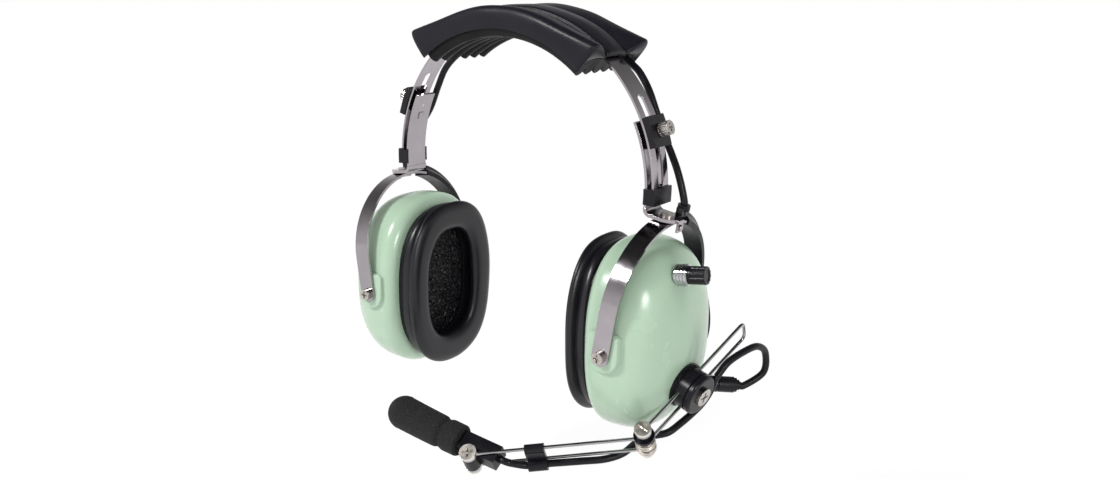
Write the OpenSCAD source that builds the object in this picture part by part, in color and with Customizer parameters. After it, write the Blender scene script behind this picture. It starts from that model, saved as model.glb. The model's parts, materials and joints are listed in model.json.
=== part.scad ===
/* [Head band] */
// Radius of the spring band's centreline over the head
band_r = 85; // [82:0.5:88]
// Width of the spring band and of the slide strips
band_w = 14.4; // [13:0.2:16]
// Thickness of the spring band
band_t = 1.2; // [0.8:0.1:1.6]
// Width of the adjustment slot in each leg of the band
slot_w = 5; // [4.4:0.1:5.6]
// Angle of the slot's upper end above the band's centre
slot_top = 34.7; // [31:0.1:38]
// Angle of the slot's lower end above the band's centre
slot_low = 2.6; // [1.5:0.1:2.9]

/* [Head pad] */
// Width of the head pad, front to rear
pad_w = 53; // [46:1:60]
// Angle that the pad covers on each side of the crown
pad_half = 40; // [36:0.5:42]
// Thickness of the padded cover above the band
cover_t = 4.6; // [3.6:0.2:6]
// Depth of the cover's front and rear walls below the band
cover_drop = 6.4; // [5:0.2:7]
// Number of lengthwise foam ribs
rib_count = 6; // [5:1:7]
// Radius of a foam rib
rib_r = 3.2; // [2.6:0.1:3.3]

/* [Height adjustment] */
// Thickness of the slide strip
strip_t = 1.4; // [1:0.1:1.6]
// Gap between the band and the slide strip inside it
strip_gap = 2.7; // [2.3:0.1:3.2]
// Length of the slide block, measured as an angle
block_span = 10.4; // [9:0.2:11]
// Angle of the slide block's upper end at full height
block_top = 26.3; // [25:0.1:27]
// Thickness of the slide block outside the band
block_t = 3.7; // [3:0.1:4.5]
// Radius of the thumbscrew's shank
thumb_r = 1.2; // [1:0.05:1.3]
// Radius of the thumbscrew's knurled head
thumb_head_r = 3.7; // [3.2:0.1:4.2]

/* [Yoke] */
// Inner radius of the yoke's arch, and half the gap between its arms
yoke_r = 42.2; // [42:0.1:44]
// Thickness of the yoke strip
yoke_t = 1.4; // [1.2:0.1:1.8]
// Width of the yoke strip
yoke_w = 9.6; // [8.6:0.2:11]
// Height of the yoke's crown above the pivots
yoke_h = 64.5; // [63:0.5:66]
// Distance from the yoke's middle to the inner end of the slide strip's foot
foot_in = 10.71; // [10:0.1:11]
// Outward lean of the yoke
yoke_lean = 8.9; // [8.5:0.1:9.3]
// Radius of the crown rivet's shank
rivet_r = 2.2; // [1.8:0.1:2.5]
// Radius of the pivot screw's shank
pivot_r = 1.9; // [1.6:0.1:2.2]

/* [Ear cup] */
// Half width of the dome
dome_w = 40; // [39:0.5:40.5]
// Half height of the dome
dome_h = 51; // [49:0.5:52]
// Depth of the dome
dome_d = 36.2; // [34:0.2:38]
// Wall of the dome
dome_wall = 2.2; // [1.8:0.1:2.6]
// Height of the cup's middle above the pivots
cup_z = 2; // [1:0.5:3]
// Distance of the dome's widest section from the pivot line, toward the head
belly_in = 6.7; // [6:0.1:7.5]
// Distance of the dome's open rim from the pivot line, toward the head
rim_in = 14.5; // [13:0.1:16]
// How far the rim is drawn in from the widest section
rim_inset = 6.8; // [5:0.1:7.5]
// Radius of the pads that carry the pivots on the dome
boss_r = 9; // [8:0.1:10]
// Height of the pads' upper edge above the pivots
boss_top = 12; // [10:0.5:14]
// Thickness of the baffle plate
plate_t = 2.4; // [2:0.1:3]
// Thickness of the ear seal
seal_t = 12.2; // [11:0.1:14]
// Half width of the ear seal
seal_w = 35.2; // [34:0.1:37]
// Half height of the ear seal
seal_h = 48.5; // [46:0.5:50]
// Half width of the ear opening
hole_w = 20; // [18:0.5:22]
// Half height of the ear opening
hole_h = 32; // [30:0.5:34]
// Radius of the earphone
phone_r = 19; // [17:0.5:20]

/* [Microphone boom] */
// Rod diameter of the boom wires
wire_d = 1.8; // [1.4:0.1:2]
// Spacing of the two rods of the rear boom
rear_gap = 13; // [12.6:0.1:13.6]
// Length of the rear boom behind its guide
rear_back = 45; // [40:1:48]
// Bend radius at the corners of the rear boom's end
corner_r = 3; // [2.5:0.1:4]
// Distance from the guide to the wrist joint
rear_front = 36; // [34:1:40]
// Spacing of the two rods of the front boom
front_gap = 11; // [10.6:0.1:11.4]
// Distance from the wrist joint to the microphone joint
front_len = 90; // [80:1:100]
// Turn of the front boom inward at the wrist
wrist_turn = 46; // [40:1:50]
// Turn of the microphone inward at its joint
mic_turn = 31; // [26:1:36]
// Slope of the rear boom, front end down
boom_slope = 33; // [28:1:36]
// Radius of the guide's flange
guide_r = 12.2; // [11.6:0.1:12.6]
// Radius of the foam windscreen
foam_r = 8.2; // [7.4:0.1:8.6]
// Length of the foam windscreen
foam_len = 46; // [40:1:50]
// Radius of the screws of the wrist and microphone joints
pin_r = 2; // [1.8:0.05:2.2]

/* [Volume control] */
// Radius of the ribbed neck
neck_r = 5.6; // [5:0.1:6]
// Radius of the volume knob
knob_r = 4.6; // [4:0.1:5.2]
// Length of the volume knob
knob_len = 9; // [8:0.5:10]

/* [Leads] */
// Diameter of the leads
lead_d = 3.8; // [3.4:0.1:4]

/* [Fits] */
// Radial clearance of the turning joints
run_fit = 0.05; // [0.03:0.01:0.08]
// Gap between faces that slide past each other
slide_fit = 0.3; // [0.2:0.05:0.4]

/* [Hidden] */
$fn = 48;
band_in = band_r - band_t / 2;
band_out = band_r + band_t / 2;
band_low_a = -3;
strip_out = band_in - strip_gap;
strip_in = strip_out - strip_t;
strip_low_a = -4.69;
foot_bend = 4;
guide_top_a = slot_low - 0.3;
guide_low_a = -3.4;
guide_half = band_w / 2 + 1.3;
cover_out = band_out + cover_t;
cover_in = band_in - cover_drop;
cover_wall = 2;
cover_edge = 3;
foam_top = band_in - 0.1;
foam_w = pad_w - 2 * cover_wall - 0.6;
rib_pitch = foam_w / rib_count;
lead_r = lead_d / 2;
cross_at = foam_top - lead_r - 0.2;
cross_y = 17;
block_low = block_top - block_span;
block_in = band_out + slide_fit;
block_out = block_in + block_t;
block_half = band_w / 2 + 0.6;
web_half = slot_w / 2 - 0.4;
thumb_a = block_top - block_span / 2;
bend_rim = 0.2;
foot_t = strip_t + 2 * bend_rim;
foot_half = band_w / 2 + bend_rim;
foot_z = yoke_h + 0.1;
foot_top = foot_z + foot_t;
bend_z = foot_z + foot_bend;
bend_x = foot_bend - foot_in - bend_rim;
arch_z = bend_z * cos(yoke_lean) + foot_in * sin(yoke_lean) - strip_in * sin(strip_low_a);
pivot_x = strip_in * cos(strip_low_a) + foot_in * cos(yoke_lean) - bend_z * sin(yoke_lean);
belly_x = pivot_x - belly_in;
rim_x = pivot_x - rim_in;
tab_x = band_w / 2 - 0.3;
crown_c = yoke_h - yoke_t - yoke_r;
yoke_out = yoke_r + yoke_t;
boss_y = yoke_r - slide_fit;
lead_at = yoke_out + lead_r + 0.6;
sleeve_top_a = 19;
sleeve_low_a = 83;
plate_x = rim_x - plate_t;
oval_n = 2.5;
sides = 36;
dome_steps = [0, 0.16, 0.32, 0.47, 0.6, 0.71, 0.8, 0.875, 0.93, 0.97, 0.992];
neck_steps = [0.3, 0.55, 0.75, 0.9, 1];
filter_t = 4;
filter_x = rim_x + filter_t;
boom_at = [belly_x + 33, -4, -20];
boom_dip = 16;
boom_toe = 6;
wire_at = 4.5;
wire_r = wire_d / 2;
body_r = guide_r - 1.2;
cap_top = 12.2;
bolt_r = 2.4;
rear_up = rear_gap / 2;
rear_turn = rear_back - corner_r;
corner_z = rear_up - corner_r;
front_up = -0.5;
front_down = front_up - front_gap;
eye_r = 4.2;
eye_t = wire_d - 0.2;
mic_off = -6.8;
mic_e = (front_up + front_down) / 2;
box_end = 10;
wrist_a = -90 - wrist_turn;
knob_at = [belly_x + 28.2, -8, 38.5];
knob_rise = 8;
knob_toe = 6;
shaft_r = 1.5;
jack_at = [belly_x + 25.7, 22, -29.8];
plug_end = 24.5;
lead_color = "#29292d";
steel = "#bdbdc2";
black = "#1e1e21";

// ---- shapes and frames used by several pieces ----

function unit(v) = v / norm(v);
function bend(c) = sign(c) * pow(abs(c), 2 / oval_n);
function oval(w, h) = [for (i = [0 : sides - 1]) [w * bend(cos(360 * i / sides)), h * bend(sin(360 * i / sides))]];
function ring(x, w, h) = [for (p = oval(w, h)) [x, p[0], cup_z + p[1]]];
function dome_scale(u) = pow(1 - pow(u, 3), 0.5);
function dome_ring(u, w, h, d) = ring(belly_x + d * u, w * dome_scale(u), h * dome_scale(u));
function neck_ring(t, w, h, d) = let (e = rim_inset * (1 - sqrt(1 - t * t))) ring(belly_x - d * t, w - e, h - e);

// a closed skin through rings of equal count, with flat ends
module skin(rings) {
    n = len(rings[0]);
    m = len(rings);
    pts = [for (r = rings) for (p = r) p];
    walls = [for (k = [0 : m - 2]) for (i = [0 : n - 1]) let (j = (i + 1) % n)
        each [[k * n + i, k * n + j, (k + 1) * n + j], [k * n + i, (k + 1) * n + j, (k + 1) * n + i]]];
    first = [for (i = [n - 1 : -1 : 0]) i];
    last = [for (i = [0 : n - 1]) (m - 1) * n + i];
    polyhedron(points = pts, faces = concat([first], walls, [last]));
}

// a closed ring skin, whose last ring meets its first
module ring_skin(rings) {
    n = len(rings[0]);
    m = len(rings);
    pts = [for (r = rings) for (p = r) p];
    walls = [for (k = [0 : m - 1]) for (i = [0 : n - 1]) let (j = (i + 1) % n, q = (k + 1) % m)
        each [[k * n + i, k * n + j, q * n + j], [k * n + i, q * n + j, q * n + i]]];
    polyhedron(points = pts, faces = walls);
}

// a round lead along its route, with eight flats
function route_dir(p, i) = unit(p[min(i + 1, len(p) - 1)] - p[max(i - 1, 0)]);
function lead_ring(p, i, up) = let (t = route_dir(p, i), a = unit(cross(t, up)), b = cross(a, t))
    [for (k = [0 : 7]) p[i] + lead_r * (cos(45 * k) * a + sin(45 * k) * b)];
module lead(route, up) {
    color(lead_color) skin([for (i = [0 : len(route) - 1]) lead_ring(route, i, up)]);
}

// a curved bar that follows the band between two angles, two radii and a half width
module arc_bar(a0, a1, r0, r1, half) {
    translate([0, 0, arch_z]) rotate([0, -a0, 0]) rotate([90, 0, 0])
        rotate_extrude(angle = a1 - a0, $fn = 240) translate([r0, -half]) square([r1 - r0, 2 * half]);
}
module pad_sweep(half) {
    translate([0, 0, arch_z]) rotate([0, half - 90, 0]) rotate([90, 0, 0])
        rotate_extrude(angle = 2 * half, $fn = 240) children();
}

// frame of the band at an angle: X runs outward, Z along the band
module on_band(a) {
    translate([0, 0, arch_z]) rotate([0, -a, 0]) children();
}
module radial(a, r0, r1, r) {
    on_band(a) translate([r0, 0, 0]) rotate([0, 90, 0]) cylinder(h = r1 - r0, r = r);
}
function band_pt(a, r, y) = [r * cos(a), y, arch_z + r * sin(a)];

// frame of the leaning yoke, with its origin on the pivot line
module yoke_frame() {
    translate([pivot_x, 0, 0]) rotate([0, yoke_lean, 0]) children();
}
function yoke_pt(x, y, z) = [pivot_x + x * cos(yoke_lean) + z * sin(yoke_lean), y,
    z * cos(yoke_lean) - x * sin(yoke_lean)];

// frames of the boom: X outward from the dome, Y to the rear along the boom
module guide_frame() {
    translate(boom_at) rotate([0, boom_dip, -boom_toe]) children();
}
module boom_frame() {
    guide_frame() translate([wire_at, 0, 0]) rotate([boom_slope, 0, 0]) children();
}
// frame of the front boom: X forward along its rods, Z along the wrist screw
module wrist_frame() {
    boom_frame() translate([0, -rear_front, 0]) rotate([0, 0, wrist_a]) children();
}
// frame of the microphone: X along it to the foam tip, Z along its joint screw
module mic_frame() {
    wrist_frame() translate([front_len, 0, 0]) rotate([0, 0, -mic_turn]) children();
}
module knob_frame() {
    translate(knob_at) rotate([0, -knob_rise, knob_toe]) rotate([0, 90, 0]) children();
}
// places a piece's Z axis along a direction
module along(p, v) {
    translate(p) rotate([0, acos(v[2]), atan2(v[1], v[0])]) children();
}

// the same frames as functions, for the routes of the leads
function dip(v) = [v[0] * cos(boom_dip) + v[2] * sin(boom_dip), v[1], v[2] * cos(boom_dip) - v[0] * sin(boom_dip)];
function toe(v) = [v[0] * cos(boom_toe) + v[1] * sin(boom_toe), v[1] * cos(boom_toe) - v[0] * sin(boom_toe), v[2]];
function boom_dir(v) = toe(dip([v[0], v[1] * cos(boom_slope) - v[2] * sin(boom_slope),
    v[1] * sin(boom_slope) + v[2] * cos(boom_slope)]));
function boom_pt(x, y, z) = boom_at + boom_dir([x + wire_at, y, z]);
function wrist_pt(x, y, z) = boom_pt(x * cos(wrist_a) - y * sin(wrist_a),
    x * sin(wrist_a) + y * cos(wrist_a) - rear_front, z);
function mic_pt(m) = wrist_pt(front_len + m * cos(mic_turn) + mic_off * sin(mic_turn),
    mic_off * cos(mic_turn) - m * sin(mic_turn), mic_e);

jack_dir = unit([0.8, 0.6, -0.05]);
outward = boom_dir([1, 0, 0]);
upward = boom_dir([0, 0, 1]);
entry_at = [belly_x + 15.3, 36.8, -22];
entry_dir = unit([-3.2, -3.5, -5]);

// routes of the leads, from the crown to the cups and on to the microphone
side_route = [band_pt(51.4, cross_at, cross_y), band_pt(47.6, cross_at + 1, 16),
    band_pt(43, cross_at + 2.4, 14.4), band_pt(36, cross_at + 2.6, 12.5), band_pt(27.6, cross_at + 1.4, 12),
    band_pt(19, cross_at + 1.6, 12), band_pt(13, cross_at + 4, 11.3), band_pt(7.5, cross_at + 7.4, 9.6),
    band_pt(2, cross_at + 10.4, 8.6), band_pt(-2.2, cross_at + 12.4, 8.4), yoke_pt(3.6, 8.6, foot_top + 5),
    yoke_pt(3.6, 8.6, foot_top + 2.2)];
function sleeve_pt(x, a) = yoke_pt(x, lead_at * sin(a), crown_c + lead_at * cos(a));
arm_route = [yoke_pt(3.6, 8.6, foot_top + 1.9), yoke_pt(3.6, 8.7, foot_top + 1.3), yoke_pt(3.3, 9.8, foot_top + 0.1),
    yoke_pt(2, 11.8, foot_top - 0.9), sleeve_pt(0.2, sleeve_top_a - 2.2)];
cup_route = [sleeve_pt(0.1, sleeve_low_a + 1.2), [pivot_x + 4.4, 46.4, 22.4], [pivot_x + 8.2, 46.6, 16.2],
    [pivot_x + 11.2, 45.6, 8], [pivot_x + 13.2, 44.6, -1], [pivot_x + 13.4, 43.2, -9.5],
    [pivot_x + 11.6, 40.1, -17.3], entry_at, entry_at + 5 * entry_dir];
loop_route = [jack_at + (plug_end + 0.05) * jack_dir, jack_at + (plug_end + 3) * jack_dir,
    boom_pt(12, 44.6, -29), boom_pt(9.5, 50, -19), boom_pt(8, 46, -9.5), boom_pt(7, 37.5, -4),
    boom_pt(5.4, 25, -1), boom_pt(5, 15.3, -3.4)];
boom_route = [boom_pt(5, 14.75, -3.6), boom_pt(5, 13.7, -4.1), boom_pt(5, 11.4, -7.4), boom_pt(4.8, 7.3, -11.5),
    boom_pt(4.6, 1.5, -13.6), boom_pt(4.2, -6, -13.6), boom_pt(3.5, -14, -12.9), boom_pt(2.4, -22, -11.8),
    boom_pt(-2, -27.6, -11.9), boom_pt(-6, -31.5, -12.9)];
wrist_route = [wrist_pt(1.36, -7.4, -12.93), wrist_pt(2.6, -7.3, -13.2), wrist_pt(6.6, -5, -14.7),
    wrist_pt(13, -0.8, -15.6),
    wrist_pt(22, 2.4, -13.8), wrist_pt(34, 3.2, -12.2), wrist_pt(49.6, 3.1, -11.8), wrist_pt(55.8, 3.1, -11.8)];
front_route = [wrist_pt(56.1, 3.1, -11.8), wrist_pt(62, 3.1, -11.8), wrist_pt(67, 3.2, -9.2), mic_pt(-17.5),
    mic_pt(-11)];

// ---- head band and pad ----

module leg_slot() {
    turn = slot_w / 2 / band_r * 180 / PI;
    arc_bar(slot_low + turn, slot_top - turn, band_in - 1, band_out + 1, slot_w / 2);
    radial(slot_low + turn, band_in - 1, band_out + 1, slot_w / 2);
    radial(slot_top - turn, band_in - 1, band_out + 1, slot_w / 2);
}

module headband_spring() {
    color(steel) difference() {
        arc_bar(band_low_a, 180 - band_low_a, band_in, band_out, band_w / 2);
        leg_slot();
        mirror([1, 0, 0]) leg_slot();
    }
}

module head_pad_cover() {
    color("#2a2a2d") pad_sweep(pad_half) difference() {
        union() {
            translate([cover_in, -pad_w / 2]) square([cover_out - cover_edge - cover_in, pad_w]);
            translate([cover_in, cover_edge - pad_w / 2]) square([cover_out - cover_in, pad_w - 2 * cover_edge]);
            translate([cover_out - cover_edge, pad_w / 2 - cover_edge]) circle(cover_edge);
            translate([cover_out - cover_edge, cover_edge - pad_w / 2]) circle(cover_edge);
        }
        translate([cover_in - 1, cover_wall - pad_w / 2]) square([band_out - cover_in + 1, pad_w - 2 * cover_wall]);
    }
}

module head_pad() {
    color("#4b4b4e") pad_sweep(pad_half - 2) difference() {
        union() {
            translate([cover_in, -foam_w / 2]) square([foam_top - cover_in, foam_w]);
            for (i = [0 : rib_count - 1]) translate([cover_in, (i + 0.5) * rib_pitch - foam_w / 2]) circle(rib_r);
        }
        translate([cross_at - lead_r - 0.1, -cross_y - lead_r - 0.1]) square([9, lead_d + 0.2]);
    }
}

module crossover_lead() {
    color(lead_color) pad_sweep(pad_half - 2) translate([cross_at, -cross_y]) circle(lead_r);
}

module end_guide() {
    color(black) difference() {
        arc_bar(guide_low_a, guide_top_a, strip_in, band_out + 1.4, guide_half);
        arc_bar(guide_low_a - 1, guide_top_a + 1, strip_in - 1, strip_out + slide_fit, band_w / 2 + slide_fit);
        arc_bar(band_low_a, guide_top_a + 1, band_in - 0.05, band_out + 0.05, band_w / 2 + 0.05);
    }
}
module end_guide_right() {
    end_guide();
}
module end_guide_left() {
    mirror([1, 0, 0]) end_guide();
}

// ---- height adjustment ----

module slide_strip() {
    color(steel) {
        difference() {
            union() {
                arc_bar(strip_low_a - 0.5, block_top, strip_in, strip_out, band_w / 2);
                on_band(thumb_a - 4.4) translate([strip_in - 0.5, -1.8, -2]) cube([0.8, 3.6, 4]);
            }
            radial(thumb_a, strip_in - 1, strip_out + 1, thumb_r + run_fit);
        }
        yoke_frame() translate([0, 0, foot_z]) difference() {
            union() {
                translate([bend_x, foot_half, foot_bend]) rotate([90, 0, 0]) rotate([0, 0, 180])
                    rotate_extrude(angle = 90) translate([foot_bend - foot_t, 0]) square([foot_t, 2 * foot_half]);
                translate([bend_x, -foot_half, 0]) cube([-0.7 - bend_x, 2 * foot_half, foot_t]);
                translate([-0.7, 0, 0]) cylinder(h = foot_t, r = foot_half);
                translate([tab_x - 1, -2.5, 0]) cube([2.2, 5, foot_t]);
                translate([tab_x, -2.5, -4.6]) cube([1.2, 5, foot_t + 4.6]);
                translate([tab_x + 1, 0, -2.2]) rotate([0, 90, 0]) cylinder(h = 1, r = 1.6);
            }
            translate([0, 0, -1]) cylinder(h = foot_t + 2, r = rivet_r);
        }
    }
}
module slide_strip_right() {
    slide_strip();
}
module slide_strip_left() {
    mirror([1, 0, 0]) slide_strip();
}

module slide_block() {
    color(black) difference() {
        union() {
            arc_bar(block_low, block_top, block_in, block_out, block_half);
            arc_bar(block_low + 1.1, block_top - 1.1, strip_out, block_in + 0.1, web_half);
        }
        radial(thumb_a, strip_out - 1, block_out + 1, thumb_r + run_fit);
    }
}
module slide_block_right() {
    slide_block();
}
module slide_block_left() {
    mirror([1, 0, 0]) slide_block();
}

module cross_slot(r, depth) {
    translate([-r, -0.5, -depth]) cube([2 * r, 1, depth + 1]);
    translate([-0.5, -r, -depth]) cube([1, 2 * r, depth + 1]);
}

module thumbscrew() {
    head = block_out + 0.2;
    color(steel) on_band(thumb_a) rotate([0, 90, 0]) {
        translate([0, 0, strip_in]) cylinder(h = head + 0.1 - strip_in, r = thumb_r);
        difference() {
            translate([0, 0, head]) cylinder(h = 6, r = thumb_head_r);
            for (i = [0 : 15]) rotate([0, 0, 22.5 * i]) translate([thumb_head_r + 0.3, 0, head + 0.8])
                cylinder(h = 4.4, r = 0.6, $fn = 16);
            translate([0, 0, head + 6]) cross_slot(2.2, 1.2);
        }
    }
}
module thumbscrew_right() {
    thumbscrew();
}
module thumbscrew_left() {
    mirror([1, 0, 0]) thumbscrew();
}

module crown_rivet() {
    under = yoke_h - yoke_t - 0.3;
    color(steel) yoke_frame() {
        translate([0, 0, foot_top]) cylinder(h = 1, r = 3.8);
        translate([0, 0, under - 0.4]) cylinder(h = foot_top + 0.5 - under, r = rivet_r);
        translate([0, 0, under - 0.8]) cylinder(h = 0.8, r = 3.4);
    }
}
module crown_rivet_right() {
    crown_rivet();
}
module crown_rivet_left() {
    mirror([1, 0, 0]) crown_rivet();
}

module lead_tie() {
    color(black) yoke_frame() difference() {
        union() {
            translate([3.6, 8.6, foot_top + 2.5]) cylinder(h = 3, r = 3.3);
            translate([1.8, 4.2, foot_top]) cube([3.6, 2.4, 4.4]);
        }
        translate([3.6, 8.6, foot_top - 2]) cylinder(h = 9, r = lead_r + 0.05);
    }
}
module lead_tie_right() {
    lead_tie();
}
module lead_tie_left() {
    mirror([1, 0, 0]) lead_tie();
}

// ---- yoke ----

module yoke() {
    color(steel) yoke_frame() difference() {
        union() {
            difference() {
                translate([-yoke_w / 2, 0, crown_c]) rotate([0, 90, 0]) cylinder(h = yoke_w, r = yoke_out, $fn = 120);
                translate([-yoke_w, 0, crown_c]) rotate([0, 90, 0]) cylinder(h = 2 * yoke_w, r = yoke_r, $fn = 120);
                translate([-yoke_w, -60, crown_c - 100]) cube([2 * yoke_w, 120, 100]);
            }
            for (y = [-yoke_out, yoke_r]) {
                translate([-yoke_w / 2, y, 0]) cube([yoke_w, yoke_t, crown_c]);
                translate([0, y, 0]) rotate([-90, 0, 0]) cylinder(h = yoke_t, r = yoke_w / 2);
            }
        }
        translate([0, 0, yoke_h - 5]) cylinder(h = 10, r = rivet_r + run_fit);
        translate([0, -60, 0]) rotate([-90, 0, 0]) cylinder(h = 120, r = pivot_r);
    }
}
module yoke_right() {
    yoke();
}
module yoke_left() {
    mirror([1, 0, 0]) yoke();
}

module arm_sleeve() {
    flat = yoke_w / 2 + 0.7;
    color(black) yoke_frame() translate([0, 0, crown_c]) rotate([0, 90, 0]) rotate([0, 0, 180 - sleeve_low_a])
        rotate_extrude(angle = sleeve_low_a - sleeve_top_a, $fn = 120) difference() {
            union() {
                polygon([[yoke_r - 0.6, -flat], [yoke_out + 0.6, -flat], [lead_at + 0.6, -lead_r - 0.5],
                    [lead_at + 0.6, lead_r + 0.5], [yoke_out + 0.6, flat], [yoke_r - 0.6, flat]]);
                translate([lead_at, 0]) circle(lead_r + 0.6);
            }
            translate([yoke_r - 0.05, -yoke_w / 2 - 0.05]) square([yoke_t + 0.1, yoke_w + 0.1]);
        }
}
module arm_sleeve_right() {
    arm_sleeve();
}
module arm_sleeve_left() {
    mirror([1, 0, 0]) arm_sleeve();
}

module pivot_screws() {
    color(steel) translate([pivot_x, 0, 0]) for (a = [0, 180]) rotate([0, 0, a]) rotate([-90, 0, 0]) {
        translate([0, 0, boss_y - 5.4]) cylinder(h = yoke_out + 5.5 - boss_y, r = pivot_r);
        difference() {
            translate([0, 0, yoke_out]) cylinder(h = 2.6, r = 3.2);
            translate([0, 0, yoke_out + 2.6]) cross_slot(2, 1.2);
        }
    }
}
module pivot_screws_right() {
    pivot_screws();
}
module pivot_screws_left() {
    mirror([1, 0, 0]) pivot_screws();
}

// ---- ear cups ----

module pivot_boss() {
    translate([pivot_x, dome_w - 5, 0]) rotate([-90, 0, 0]) linear_extrude(boss_y - dome_w + 5) {
        circle(boss_r);
        translate([-boss_r, -boss_top]) square([2 * boss_r, boss_top]);
    }
}

module dome_shell() {
    last = len(dome_steps) - 1;
    turns = len(neck_steps) - 1;
    neck = belly_x - rim_x;
    w = dome_w - dome_wall;
    h = dome_h - dome_wall;
    outer = [for (k = [last : -1 : 0]) dome_ring(dome_steps[k], dome_w, dome_h, dome_d)];
    outer_neck = [for (t = neck_steps) neck_ring(t, dome_w, dome_h, neck)];
    lip = ring(rim_x, w - rim_inset, h - rim_inset);
    inner_neck = [for (k = [turns : -1 : 0]) neck_ring(neck_steps[k], w, h, neck - dome_wall)];
    inner = [for (u = dome_steps) dome_ring(u, w, h, dome_d - dome_wall)];
    skin(concat(outer, outer_neck, [lip], inner_neck, inner));
}

module plain_dome() {
    difference() {
        union() {
            dome_shell();
            pivot_boss();
            mirror([0, 1, 0]) pivot_boss();
            along(entry_at, entry_dir) translate([0, 0, -1.4]) cylinder(h = 5, r = 3.4);
        }
        translate([pivot_x, -60, 0]) rotate([-90, 0, 0]) cylinder(h = 120, r = pivot_r + run_fit);
        along(entry_at, entry_dir) translate([0, 0, -5]) cylinder(h = 14, r = lead_r + 0.1);
    }
}

module dome_right() {
    color("#6f8470") difference() {
        union() {
            plain_dome();
            guide_frame() rotate([0, 90, 0]) translate([0, 0, -6]) cylinder(h = 6, r = guide_r + 0.5);
            knob_frame() translate([0, 0, -9]) cylinder(h = 9, r = neck_r + 1.2);
        }
        guide_frame() rotate([0, 90, 0]) {
            cylinder(h = 6, r = guide_r + 0.7);
            translate([0, 0, -9]) cylinder(h = 12, r = 5.05);
        }
        knob_frame() {
            cylinder(h = 9, r = neck_r + 0.4);
            translate([0, 0, -12]) cylinder(h = 14, r = 3);
        }
        along(jack_at, jack_dir) translate([0, 0, -9]) cylinder(h = 20, r = 4.45);
    }
}
module dome_left() {
    color("#6f8470") mirror([1, 0, 0]) plain_dome();
}

module baffle_plate() {
    color(black) translate([plate_x, 0, cup_z]) rotate([90, 0, 90]) linear_extrude(plate_t) difference() {
        polygon(oval(dome_w - rim_inset - 0.4, dome_h - rim_inset - 0.4));
        polygon(oval(hole_w + 2, hole_h + 2));
    }
}
module baffle_plate_right() {
    baffle_plate();
}
module baffle_plate_left() {
    mirror([1, 0, 0]) baffle_plate();
}

module ear_seal() {
    section = [[0, -3.2, 1], [0.05, -2.6, 1], [0.34, -2.6, 1], [0.44, -4.4, 1], [0.52, -1.8, 1], [0.67, -0.2, 1],
        [0.84, -0.8, 1], [0.95, -2.6, 1], [1, -5, 1], [1, 5, 0], [0.93, 2.2, 0], [0.79, 0.3, 0], [0.6, 0.4, 0],
        [0.41, 2.2, 0], [0, 3, 0]];
    color("#232326") ring_skin([for (s = section) ring(plate_x - s[0] * seal_t,
        s[2] * seal_w + (1 - s[2]) * hole_w + s[1], s[2] * seal_h + (1 - s[2]) * hole_h + s[1])]);
}
module ear_seal_right() {
    ear_seal();
}
module ear_seal_left() {
    mirror([1, 0, 0]) ear_seal();
}

module foam_filter() {
    color("#39393c") translate([rim_x, 0, cup_z]) rotate([90, 0, 90])
        linear_extrude(filter_t) polygon(oval(hole_w + 6, hole_h + 6));
}
module foam_filter_right() {
    foam_filter();
}
module foam_filter_left() {
    mirror([1, 0, 0]) foam_filter();
}

module earphone() {
    color("#55555a") translate([filter_x, 0, cup_z]) rotate([0, 90, 0]) {
        cylinder(h = 8, r = phone_r);
        cylinder(h = 1.6, r = phone_r + 2.5);
        translate([0, 0, 7.9]) cylinder(h = 3.5, r = 10);
    }
}
module earphone_right() {
    earphone();
}
module earphone_left() {
    mirror([1, 0, 0]) earphone();
}

// ---- volume control ----

module volume_control() {
    color("#8e9095") knob_frame() difference() {
        union() {
            cylinder(h = 7, r = neck_r - 0.5);
            for (i = [0 : 3]) translate([0, 0, 0.6 + 1.7 * i]) cylinder(h = 0.9, r = neck_r);
            translate([0, 0, -9.05]) cylinder(h = 9.1, r = 3);
            translate([0, 0, -17]) cylinder(h = 8, r = 6.5);
        }
        translate([0, 0, -13]) cylinder(h = 21, r = shaft_r + run_fit);
    }
}

module volume_knob() {
    color(black) knob_frame() {
        translate([0, 0, -12]) cylinder(h = 20, r = shaft_r);
        difference() {
            translate([0, 0, 7.3]) cylinder(h = knob_len, r = knob_r);
            for (i = [0 : 11]) rotate([0, 0, 30 * i]) translate([knob_r + 0.5, 0, 8.4])
                cylinder(h = knob_len, r = 0.9, $fn = 16);
            translate([0, 0, 6.9 + knob_len]) cylinder(h = 1, r = knob_r - 1.4);
        }
    }
}

// ---- boom guide ----

module guide_base() {
    color(black) guide_frame() rotate([0, 90, 0]) difference() {
        union() {
            cylinder(h = 1.6, r = guide_r);
            translate([0, 0, 1.6]) cylinder(h = 0.8, r = guide_r - 0.7);
            translate([0, 0, -6.5]) cylinder(h = 7, r = 5);
        }
        translate([0, 0, -8]) cylinder(h = 12, r = bolt_r);
    }
}

module boom_guide() {
    color(black) guide_frame() difference() {
        rotate([0, 90, 0]) union() {
            translate([0, 0, 2.5]) cylinder(h = 5.7, r = body_r);
            translate([0, 0, 8.1]) cylinder(h = 1, r = body_r - 0.8);
            translate([0, 0, 9]) cylinder(h = cap_top - 10.4, r = body_r);
            rotate_extrude() intersection() {
                translate([body_r - 1.6, cap_top - 1.6]) circle(1.6);
                translate([0, cap_top - 1.7]) square([body_r + 1, 2]);
            }
            translate([0, 0, 9]) cylinder(h = cap_top - 9, r = body_r - 1.6);
        }
        rotate([0, 90, 0]) cylinder(h = 15, r = bolt_r + run_fit);
        rotate([boom_slope, 0, 0]) for (z = [-rear_up, rear_up]) translate([wire_at, -15, z])
            rotate([-90, 0, 0]) cylinder(h = 30, r = wire_r + run_fit);
    }
}

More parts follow.
